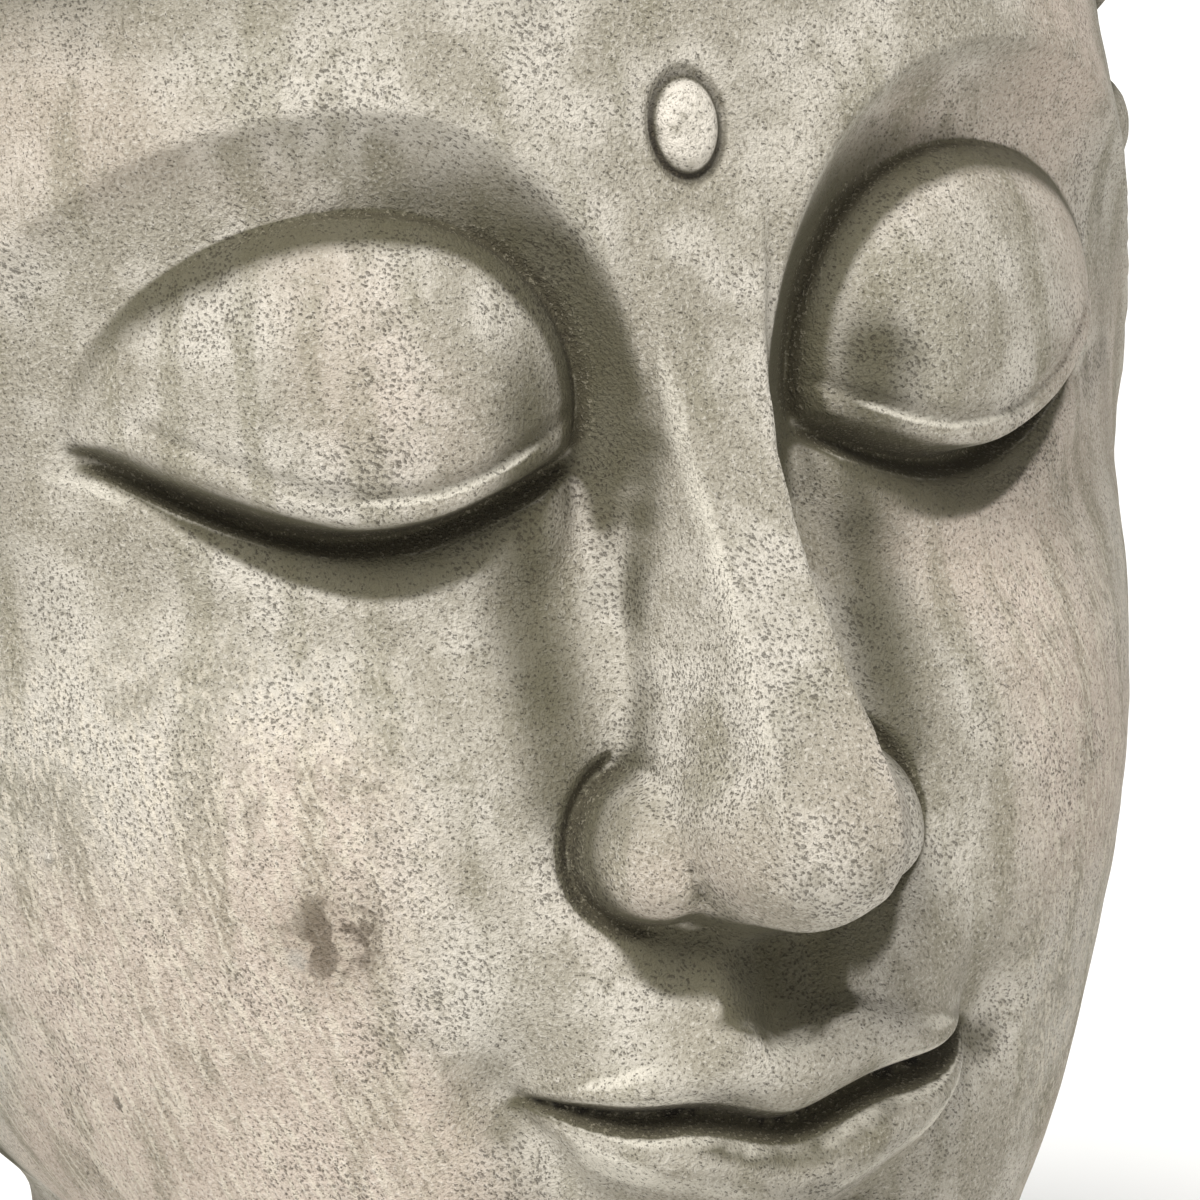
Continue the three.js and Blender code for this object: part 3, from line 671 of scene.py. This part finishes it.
def make_skin(middles):
    at, faces = skin_grid()
    p = weathered(skin_points(at[:, 0], at[:, 1]))
    under = at[:, 1] < -NECK_HEIGHT - 6
    p[:, 2] = np.where(under, -NECK_HEIGHT, np.maximum(p[:, 2], -NECK_HEIGHT))
    skin = make_piece("head_skin", p, faces)
    ends = edge_ends(skin.data)
    carved = in_finest_zone(np.abs(p[:, 0]), p[:, 2]) & (p[:, 1] < FINE_EDGE)
    p = np.stack([smoothed(p[:, axis], ends, 3, 0.5 * carved) for axis in range(3)], 1)
    skin.data.vertices.foreach_set("co", placed(p).ravel())
    stain_and_shade, warmth = skin_stains_and_shade(p, middles)
    set_wear_and_painted_light(skin, p, slope(p), middles, stain_and_shade=stain_and_shade, warmth=warmth)
    return skin


AROUND_KNOB = 24
DOWN_KNOB = 10
DOME_ANGLE = math.radians(108)


def knob_dome():
    """Points and faces of one closed dome of radius 1, which stands along Z."""
    fall = DOME_ANGLE * (np.arange(1, DOWN_KNOB + 1) / DOWN_KNOB) ** 0.9
    turn = 2 * np.pi * np.arange(AROUND_KNOB) / AROUND_KNOB
    fall, turn = [a.ravel() for a in np.meshgrid(fall, turn, indexing="ij")]
    points = np.stack([np.sin(fall) * np.cos(turn), np.sin(fall) * np.sin(turn), np.cos(fall)], 1)
    points = np.concatenate([points, [(0, 0, 1), (0, 0, math.cos(DOME_ANGLE))]])
    tip = len(points) - 2
    faces = []
    for i in range(DOWN_KNOB - 1):
        for j in range(AROUND_KNOB):
            k = (j + 1) % AROUND_KNOB
            a = i * AROUND_KNOB
            faces.append((a + j, a + AROUND_KNOB + j, a + AROUND_KNOB + k, a + k))
    last = (DOWN_KNOB - 1) * AROUND_KNOB
    for j in range(AROUND_KNOB):
        k = (j + 1) % AROUND_KNOB
        faces.append((tip, j, k))
        faces.append((tip + 1, last + k, last + j))
    return points, faces


def make_knobs(middles, out):
    """One closed dome for each knob, all in one mesh."""
    dome_points, dome_faces = knob_dome()
    across = np.cross(out, (0.31, 0.87, 0.38))
    across /= np.linalg.norm(across, axis=1, keepdims=True)
    along = np.cross(out, across)
    axes = np.stack([across, along, out], 1)
    points = np.einsum("pa,kab->kpb", dome_points, axes)
    reach = KNOB_RADIUS * (0.965 + 0.025 * unevenness(middles, 31, 5.3))
    points = middles[:, None] + points * reach[:, None, None]
    points = points.reshape(-1, 3)
    lumps = 1 + 0.016 * unevenness(points, 6, 1.9) + 0.008 * unevenness(points, 2.6, 9.2)
    centre = np.repeat(middles, len(dome_points), 0)
    points = centre + (points - centre) * np.minimum(lumps, 1.03)[:, None]
    first = len(dome_points) * np.arange(len(middles))
    faces = [tuple(v + start for v in face) for start in first.tolist() for face in dome_faces]
    knobs = make_piece("hair_knobs", points, faces)
    outward = points - centre
    outward /= np.linalg.norm(outward, axis=1, keepdims=True)
    set_wear_and_painted_light(knobs, points, outward, middles, stain_and_shade=0.2)
    return knobs


EAR_ROWS = 130
EAR_COLUMNS = 64


def make_ear(name, side, middles):
    """The carved skin of an ear, closed by a plain root inside the head with two points a row."""
    turn = np.linspace(0.05, math.pi - 0.05, EAR_ROWS)
    c = EAR_LOW + (EAR_TOP - EAR_LOW) * (0.5 - 0.5 * np.cos(turn))
    k = np.sin(np.pi * (np.linspace(0, 1, EAR_COLUMNS) - 0.5))
    high, wide = [a.ravel() for a in np.meshgrid(c, k, indexing="ij")]
    skin, depth = ear_skin(high, wide)
    skin[:, 0] += np.minimum(swells(skin, 0.2), 0.1)
    grid = np.arange(len(skin)).reshape(EAR_ROWS, EAR_COLUMNS)
    root = skin[grid[:, [0, -1]].ravel()]
    root[:, 0] = ear_root_line(root[:, 2])
    back = len(skin) + np.arange(2 * EAR_ROWS).reshape(EAR_ROWS, 2)
    cheek_side = [grid[:-1, 0], grid[1:, 0], back[1:, 0], back[:-1, 0]]
    rear_side = [grid[1:, -1], grid[:-1, -1], back[:-1, 1], back[1:, 1]]
    inside = [back[:-1, 0], back[1:, 0], back[1:, 1], back[:-1, 1]]
    carved = [grid[:-1, :-1], grid[:-1, 1:], grid[1:, 1:], grid[1:, :-1]]
    sheets = [carved, cheek_side, rear_side, inside]
    faces = np.concatenate([np.stack(corners, -1).reshape(-1, 4) for corners in sheets]).tolist()
    faces.append([*grid[0, ::-1].tolist(), *back[0].tolist()])
    faces.append([*grid[-1].tolist(), *back[-1, ::-1].tolist()])
    points = np.concatenate([skin, root]) * (side, 1, 1)
    if side < 0:
        faces = [face[::-1] for face in faces]
    ear = make_piece(name, points, faces)
    outward = np.tile((side, 0, 0), (len(points), 1))
    # painted shade with dirt: the ear's carving is darker the deeper it is cut
    carved_in = np.concatenate([np.clip(depth / 6, 0, 1) ** 2 * 0.7, np.zeros(len(root))])
    set_wear_and_painted_light(ear, points, outward, middles, carved_in=carved_in)
    return ear


# Cast stone: pale grains, dark pits, olive and brown patina with painted shade in the hollows, worn edges
# with a painted highlight


def srgb(red, green, blue):
    """A colour of 0 to 255 as the shader's linear values."""
    parts = [v / 255 for v in (red, green, blue)]
    return (*[v / 12.92 if v <= 0.04045 else ((v + 0.055) / 1.055) ** 2.4 for v in parts], 1)


class Shader:
    """Short calls for the nodes of one material."""

    def __init__(self, material):
        material.use_nodes = True
        self.tree = material.node_tree
        self.surface = self.tree.nodes["Principled BSDF"]

    def link(self, value, socket):
        if isinstance(value, bpy.types.NodeSocket):
            self.tree.links.new(value, socket)
        else:
            socket.default_value = value

    def add(self, kind, inputs, **settings):
        node = self.tree.nodes.new("ShaderNode" + kind)
        for name, value in settings.items():
            setattr(node, name, value)
        for name, value in inputs.items():
            self.link(value, node.inputs[name])
        return node

    def calc(self, operation, a, b=0.0):
        return self.add("Math", {0: a, 1: b}, operation=operation).outputs[0]

    def plus(self, a, b):
        return self.calc("ADD", a, b)

    def less(self, a, b):
        return self.calc("SUBTRACT", a, b)

    def times(self, a, b):
        return self.calc("MULTIPLY", a, b)

    def apart(self, a, b):
        return self.calc("ABSOLUTE", self.less(a, b))

    def shift(self, vector, by):
        return self.add("VectorMath", {0: vector, 1: by}, operation="ADD").outputs[0]

    def stretch(self, vector, by):
        return self.add("VectorMath", {0: vector, 1: by}, operation="MULTIPLY").outputs[0]

    def length(self, vector):
        return self.add("VectorMath", {0: vector}, operation="LENGTH").outputs["Value"]

    def ramp(self, value, low, high, start=0.0, end=1.0):
        inputs = {"Value": value, "From Min": low, "From Max": high, "To Min": start, "To Max": end}
        return self.add("MapRange", inputs, interpolation_type="SMOOTHSTEP").outputs[0]

    def noise(self, vector, size, detail, rough=0.5):
        """Cloudy values round 0.5, with patches as wide as the size."""
        inputs = {"Vector": vector, "Scale": 1 / size, "Detail": detail, "Roughness": rough}
        return self.add("TexNoise", inputs).outputs[0]

    def cells(self, vector, size):
        """Distance to the nearest of many scattered points, in cells."""
        return self.add("TexVoronoi", {"Vector": vector, "Scale": 1 / size}).outputs["Distance"]

    def ragged(self, value, cloud, amount):
        """The value, raised and lowered by a cloud round 0.5."""
        return self.plus(value, self.times(self.less(cloud, 0.5), amount))

    def tint(self, share, colour, new):
        node = self.add("Mix", {}, data_type="RGBA")
        for value, index in ((share, 0), (colour, 6), (srgb(*new), 7)):
            self.link(value, node.inputs[index])
        return node.outputs[2]

    def near(self, vector, place, reach, soft):
        """1 round a place on the stone, and 0 beyond the reach."""
        away = self.add("VectorMath", {0: vector, 1: place}, operation="DISTANCE").outputs["Value"]
        return self.ramp(away, reach, reach * (1 - soft))

    def value(self, name):
        return self.add("Attribute", {}, attribute_name=name).outputs["Fac"]


# Places on the stone, in millimetres
NOSE_TIP = (0, -125, 156)
STAIN = (-52.7, -95.4, 142.7)
FLECKS = (-52.2, -95.4, 143.2)
FLAKE = (-57.7, -93.4, 140.2)
NUB = (-79.6, -65.3, 153.8)
CUT = (-72.2, -62.8, 119.2)
CUT_SQUEEZE = 0.5
SCRATCH = (-29, -92, 103.5)
SCRATCH_CENTRE = (-38, 0, 112.5)
SCRATCH_RADIUS = 13.3


def clean_stone(s, at, clouds, brushed, strokes):
    """Grey and pink-beige patches, olive-grey runs, brushed streaks and pale grains."""
    colour = s.tint(s.ramp(clouds["patchy"], 0.34, 0.66), srgb(155, 149, 135), (190, 184, 172))
    colour = s.tint(s.ramp(clouds["warm"], 0.4, 0.64, 0, 0.8), colour, (190, 175, 161))
    colour = s.tint(s.ramp(clouds["mottled"], 0.5, 0.72, 0, 0.5), colour, (138, 132, 116))
    runs = s.noise(s.stretch(at, (1, 1, 0.13)), 7, 1)
    colour = s.tint(s.ramp(runs, 0.5, 0.68, 0, 0.45), colour, (124, 119, 98))
    streak = s.times(brushed, s.ramp(strokes, 0.5, 0.66, 0, 0.55))
    colour = s.tint(streak, colour, (208, 199, 182))
    return s.tint(s.ramp(clouds["fine"], 0.52, 0.7, 0, 0.42), colour, (214, 208, 197))


def patina_and_painted_light(s, colour, clouds, edge):
    """Olive weathering with painted shade under all that overhangs, dirt with painted shade in the
    hollows, near-black painted shade with dirt in the creases, and worn edges with a painted highlight.
    """
    crease, hollow, lee = [s.value(name) for name in ("crease", "hollow", "lee")]
    mottled, fine = clouds["mottled"], clouds["fine"]
    # painted shade with olive patina: darker where other stone juts over or beside the skin
    film = s.ragged(lee, clouds["patchy"], 0.35)
    colour = s.tint(s.ramp(film, 0.1, 0.58, 0, 0.92), colour, (77, 73, 54))
    # painted shade with dirt: darker in the hollows
    grime_and_shade = s.ragged(hollow, mottled, 0.5)
    colour = s.tint(s.ramp(grime_and_shade, 0.2, 0.8, 0, 0.8), colour, (66, 61, 46))
    # painted shade with dirt: near black in the narrowest creases
    black = s.ragged(crease, mottled, 1.1)
    colour = s.tint(s.ramp(black, 0.55, 1.0, 0, 0.94), colour, (28, 24, 18))
    crumbs = s.times(s.ramp(hollow, 0.12, 0.4), s.ramp(fine, 0.56, 0.66))
    colour = s.tint(s.times(crumbs, 0.45), colour, (150, 143, 124))
    # painted highlight with wear: paler on sharp edges, away from the hollows
    worn_and_highlight = s.ramp(s.ragged(edge, mottled, 0.35), 0.12, 0.45, 0, 0.75)
    return s.tint(s.times(worn_and_highlight, s.ramp(hollow, 0.4, 0.15)), colour, (210, 204, 190))


def ornament_wear_and_painted_light(s, colour, at, along, mottled):
    """The oval between the brows, worn pale with a painted highlight, in a ring of dirt and painted shade
    that is darker at its lower left.
    """
    flat = s.shift(at, (0, 0, -ORNAMENT_MIDDLE - NECK_HEIGHT))
    flat = s.length(s.stretch(flat, (2 / ORNAMENT_WIDTH, 0, 2 / ORNAMENT_LENGTH)))
    in_front = s.ramp(along["Y"], -40, -50)
    lower_left = s.ramp(s.plus(along["X"], along["Z"]), 249, 235, 0.5, 0.95)
    # painted shade with dirt: a dark ring in the groove round the oval, darker at its lower left
    ring = s.times(s.ramp(s.apart(flat, 1.12), 0.13, 0.04), lower_left)
    colour = s.tint(s.times(ring, in_front), colour, (40, 35, 27))
    # painted highlight with wear: the raised oval paler
    oval = s.times(s.ramp(flat, 1.04, 0.94), in_front)
    return s.tint(s.times(oval, s.ramp(mottled, 0.7, 0.5, 0.3, 0.85)), colour, (216, 209, 197))


def marks(s, colour, at, along, uneven, mottled):
    """A flaked stain, a pale nub, a small cut and a curved scratch, on the near cheek and jaw."""
    torn = s.shift(at, s.stretch(uneven, (2, 1, 2)))
    colour = s.tint(s.times(s.near(torn, STAIN, 13, 0.9), 0.45), colour, (128, 114, 96))
    flecks = s.times(s.near(torn, FLECKS, 8, 0.6), s.ramp(mottled, 0.5, 0.58))
    colour = s.tint(s.times(flecks, 0.6), colour, (72, 60, 46))
    colour = s.tint(s.times(s.near(torn, FLAKE, 3.4, 0.4), 0.6), colour, (162, 160, 152))
    nub = s.near(torn, NUB, 1.5, 0.7)
    colour = s.tint(s.times(nub, 0.8), colour, (214, 208, 196))
    squeezed = s.stretch(torn, (1, 1, CUT_SQUEEZE))
    cut = s.near(squeezed, (CUT[0], CUT[1], CUT[2] * CUT_SQUEEZE), 0.8, 0.7)
    colour = s.tint(s.times(cut, 0.6), colour, (96, 86, 68))
    from_centre = s.stretch(s.shift(at, [-v for v in SCRATCH_CENTRE]), (1, 0, 1))
    away = s.apart(s.length(from_centre), SCRATCH_RADIUS)
    scratch = s.times(s.ramp(away, 0.32, 0.12), s.near(at, SCRATCH, 12, 0.4))
    scratch = s.times(scratch, s.ramp(along["X"], -35, -33))
    scratch = s.times(scratch, s.ramp(along["Z"], 109, 107))
    colour = s.tint(s.times(scratch, 0.7), colour, (72, 64, 49))
    return colour, nub, cut, scratch


def cast_stone():
    material = bpy.data.materials.new("cast_stone_weathered")
    s = Shader(material)
    metres = s.add("TexCoord", {}).outputs["Object"]
    at = s.stretch(metres, (1000, 1000, 1000))
    along = s.add("SeparateXYZ", {"Vector": at}).outputs
    edge, patchy = s.value("edge"), s.value("patchy")
    mottled = s.noise(s.shift(at, (0, 90, 0)), 4.5, 2, 0.65)
    fine = s.noise(s.shift(at, (0, 0, 40)), 0.54, 2, 0.7)
    clouds = {"warm": s.value("warm"), "patchy": patchy, "mottled": mottled, "fine": fine}

    # Pits left by sand, wider in patches and on the nose, drawn out along the strokes of a brush
    leaning = s.add("Mapping", {"Vector": at, "Rotation": (0, math.radians(26), 0)}).outputs[0]
    uneven = s.add("CombineXYZ", {0: fine, 1: patchy, 2: fine}).outputs[0]
    uneven = s.stretch(uneven, (1.2, 5.0, -1.2))
    worn = s.plus(patchy, s.times(s.near(at, NOSE_TIP, 34, 0.6), 0.2))
    wide = s.ramp(worn, 0.48, 0.74, 0.26, 0.46)
    distance = s.cells(s.stretch(s.shift(leaning, uneven), (1, 1, 0.55)), 0.5)
    dents = s.ramp(distance, wide, s.times(wide, 0.4))

    # Brushed streaks that run down the cheeks
    strokes = s.noise(s.stretch(leaning, (1, 1, 0.1)), 0.9, 0)
    cheek = s.times(s.ramp(along["Z"], 90, 110), s.ramp(along["Z"], 195, 165))
    brushed = s.times(cheek, s.ramp(s.calc("ABSOLUTE", along["X"]), 34, 52))

    colour = clean_stone(s, at, clouds, brushed, strokes)
    colour = patina_and_painted_light(s, colour, clouds, edge)
    colour = ornament_wear_and_painted_light(s, colour, at, along, mottled)

    # Dark grains and pits
    colour = s.tint(s.ramp(fine, 0.48, 0.28, 0, 0.6), colour, (92, 85, 69))
    colour = s.tint(s.times(dents, 0.6), colour, (58, 51, 39))

    colour, nub, cut, scratch = marks(s, colour, at, along, uneven, mottled)
    s.link(colour, s.surface.inputs["Base Color"])
    s.link(s.ramp(edge, 0.05, 0.4, 0.93, 0.74), s.surface.inputs["Roughness"])
    s.surface.inputs["Specular IOR Level"].default_value = 0.3

    # Relief in millimetres
    relief = s.less(s.times(fine, 0.62), s.times(dents, 0.2))
    relief = s.plus(relief, s.times(brushed, s.times(strokes, 0.35)))
    relief = s.plus(relief, s.times(s.less(nub, cut), 0.8))
    relief = s.less(relief, s.times(scratch, 0.3))
    bump = s.add("Bump", {"Height": relief, "Distance": MM, "Strength": 1.0})
    s.link(bump.outputs[0], s.surface.inputs["Normal"])
    return material


# Stage, light and camera


def make_floor():
    mesh = bpy.data.meshes.new("floor")
    reach = 30.0
    corners = [(-reach, -reach, 0), (reach, -reach, 0), (reach, reach, 0), (-reach, reach, 0)]
    mesh.from_pydata(corners, [], [(0, 1, 2, 3)])
    floor = bpy.data.objects.new("floor", mesh)
    bpy.context.scene.collection.objects.link(floor)
    pale = bpy.data.materials.new("pale_floor")
    pale.use_nodes = True
    shader = pale.node_tree.nodes["Principled BSDF"]
    shader.inputs["Base Color"].default_value = (0.86, 0.86, 0.85, 1)
    shader.inputs["Roughness"].default_value = 0.85
    mesh.materials.append(pale)


def make_world():
    """A pale even sky, shown without a film look, so that the ground stays as white as in the photo."""
    world = bpy.data.worlds.new("studio")
    world.use_nodes = True
    sky = world.node_tree.nodes["Background"]
    sky.inputs["Color"].default_value = (1, 0.99, 0.97, 1)
    sky.inputs["Strength"].default_value = 0.46
    bpy.context.scene.world = world
    bpy.context.scene.view_settings.view_transform = "Standard"


def add_light(name, direction, strength, softness):
    """A broad soft lamp far away, which shines from the direction given."""
    data = bpy.data.lights.new(name, "SUN")
    data.energy = strength
    data.angle = math.radians(softness)
    data.color = (1, 0.995, 0.985)
    light = bpy.data.objects.new(name, data)
    light.location = direction
    light.rotation_mode = "QUATERNION"
    light.rotation_quaternion = Vector(direction).to_track_quat("Z", "Y")
    bpy.context.scene.collection.objects.link(light)


PHOTO_PIXELS = 1200
PIXELS_PER_MM = 7.9
PIXELS_COUNTED_AT = 700
CAMERA_REACH = 0.75
CAMERA_TARGET = Vector((0.0036, -0.06, 0.1764))


def add_camera():
    """The photo's view: from the -X side of straight ahead, a little above, with a slight roll."""
    azimuth, elevation, roll = math.radians(-23.5), math.radians(8), math.radians(-5)
    flat = math.cos(elevation)
    back = Vector((math.sin(azimuth) * flat, -math.cos(azimuth) * flat, math.sin(elevation)))
    data = bpy.data.cameras.new("camera")
    data.sensor_width = 36
    data.lens = data.sensor_width * PIXELS_PER_MM * PIXELS_COUNTED_AT / PHOTO_PIXELS
    camera = bpy.data.objects.new("camera", data)
    camera.location = CAMERA_TARGET + back * CAMERA_REACH
    camera.rotation_mode = "QUATERNION"
    camera.rotation_quaternion = (-back).to_track_quat("-Z", "Y") @ Quaternion((0, 0, 1), roll)
    bpy.context.scene.collection.objects.link(camera)
    bpy.context.scene.camera = camera


middles, out = knob_middles()
stone = cast_stone()
for piece in (
    make_skin(middles),
    make_knobs(middles, out),
    make_ear("ear_left", 1, middles),
    make_ear("ear_right", -1, middles),
):
    piece.data.materials.append(stone)

make_floor()
make_world()
add_light("key", (-0.6, -0.8, 1.25), 4.1, 26)
add_light("fill", (1.0, 0.7, 0.8), 0.3, 70)
add_camera()
